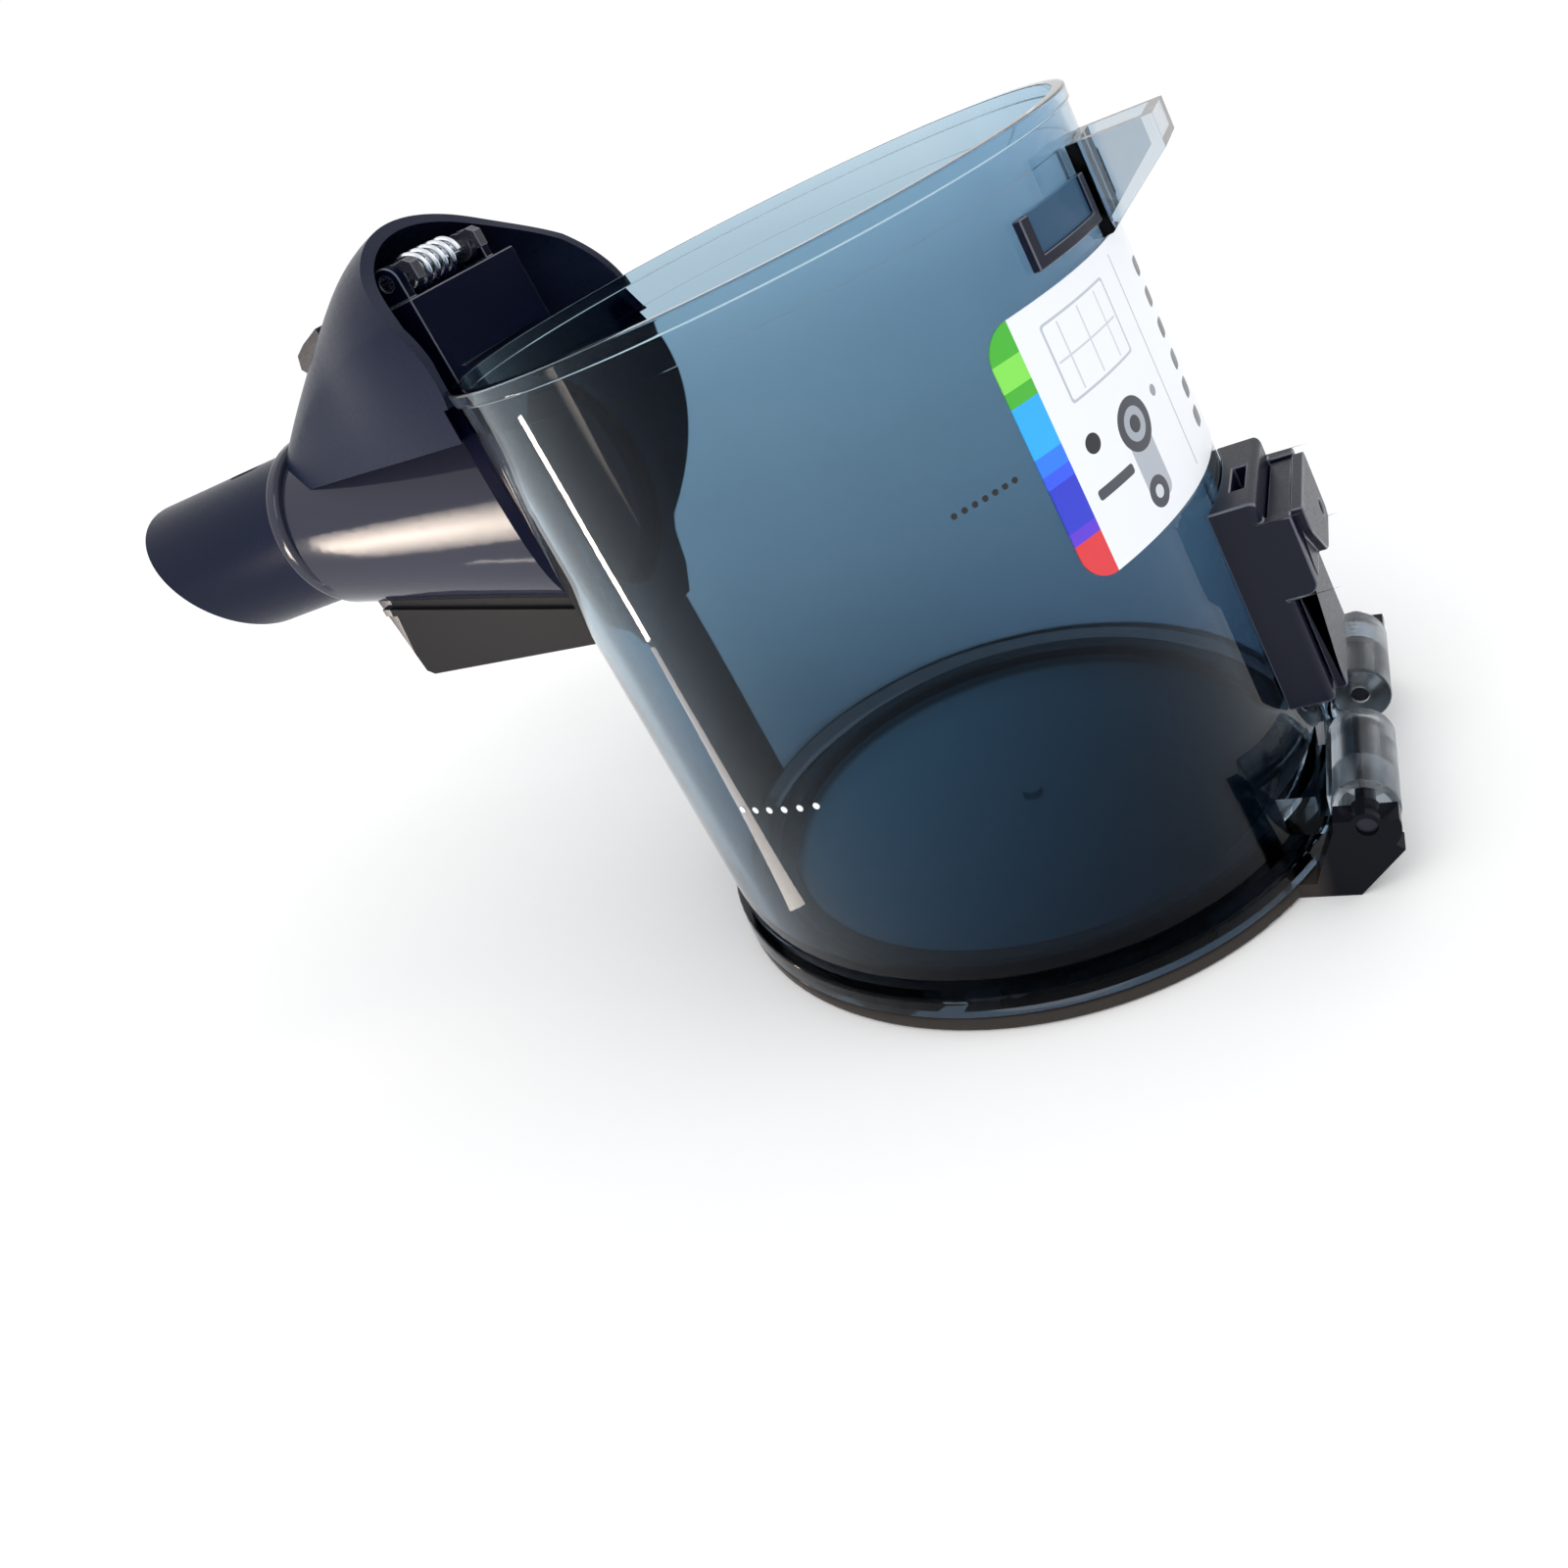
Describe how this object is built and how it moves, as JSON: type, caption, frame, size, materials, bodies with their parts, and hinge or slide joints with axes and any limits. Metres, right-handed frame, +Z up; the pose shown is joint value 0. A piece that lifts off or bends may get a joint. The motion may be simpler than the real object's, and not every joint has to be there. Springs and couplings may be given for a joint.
{
  "type": "cyclone dust bin",
  "caption": "Clear smoke-tinted dust cup of a stick vacuum cleaner, with a side inlet duct and scoop, a hinged base lid and a sliding lock.",
  "frame": {"origin": "centre of the lid's flat underside, on which the part stands", "axes": "+Z up from the lid's underside; -X toward the inlet tube, +X toward the lid hinge and the lock; -Y toward the label's side. The cup's own axis leans 8.5 degrees toward -X."},
  "size_m": [0.2305, 0.1132, 0.1332],
  "materials": {
    "clear_smoke": "clear smoke-blue, polished",
    "black_gloss": "gloss",
    "black_satin": "satin",
    "tinted_lid": "dark tinted, polished",
    "seal_rubber": "matt",
    "screw_steel": "plain",
    "spring_steel": "bright",
    "label_film": "smooth film",
    "mark_ink": "printed"
  },
  "bodies": {
    "cup": {"dust_cup": "clear_smoke", "inlet_tube": "black_gloss", "inlet_duct": "black_gloss", "inlet_flange": "black_gloss", "flange_gasket": "seal_rubber", "rim_catches": "black_satin", "catch_panels": "tinted_lid", "front_spine": "black_gloss", "scoop_shell": "black_gloss", "lever_carrier": "black_satin", "lever_axle": "screw_steel", "release_spring": "spring_steel", "lock_housing": "black_satin", "lock_screws": "screw_steel", "lock_spring": "spring_steel", "hinge_pins": "screw_steel", "hinge_spring": "spring_steel", "label": "label_film", "fill_marks": "mark_ink"},
    "lid": {"lid_dish": "tinted_lid", "lid_seal": "seal_rubber"},
    "slider": {"lock_slider": "black_satin"},
    "lever": {"release_lever": "black_satin"}
  },
  "joints": [
    {"name": "lid_hinge", "type": "hinge", "parent": "cup", "child": "lid", "pos_m": [0.0592, 0, 0.0122], "axis": [0, -1, 0], "range_deg": [0, 95], "deforming": ["hinge_spring"]},
    {"name": "lock_slide", "type": "slide", "parent": "cup", "child": "slider", "axis": [0.1478, 0, -0.989], "range_m": [0, 0.005], "stiffness_N_per_m": 200, "springref_m": -0.005, "deforming": ["lock_spring"]},
    {"name": "release_turn", "type": "hinge", "parent": "cup", "child": "lever", "pos_m": [-0.07775, 0, 0.12448], "axis": [0, -1, 0], "range_deg": [0, 6], "stiffness_Nm_per_rad": 0.05, "springref_deg": -17.19, "deforming": ["release_spring"]}
  ]
}
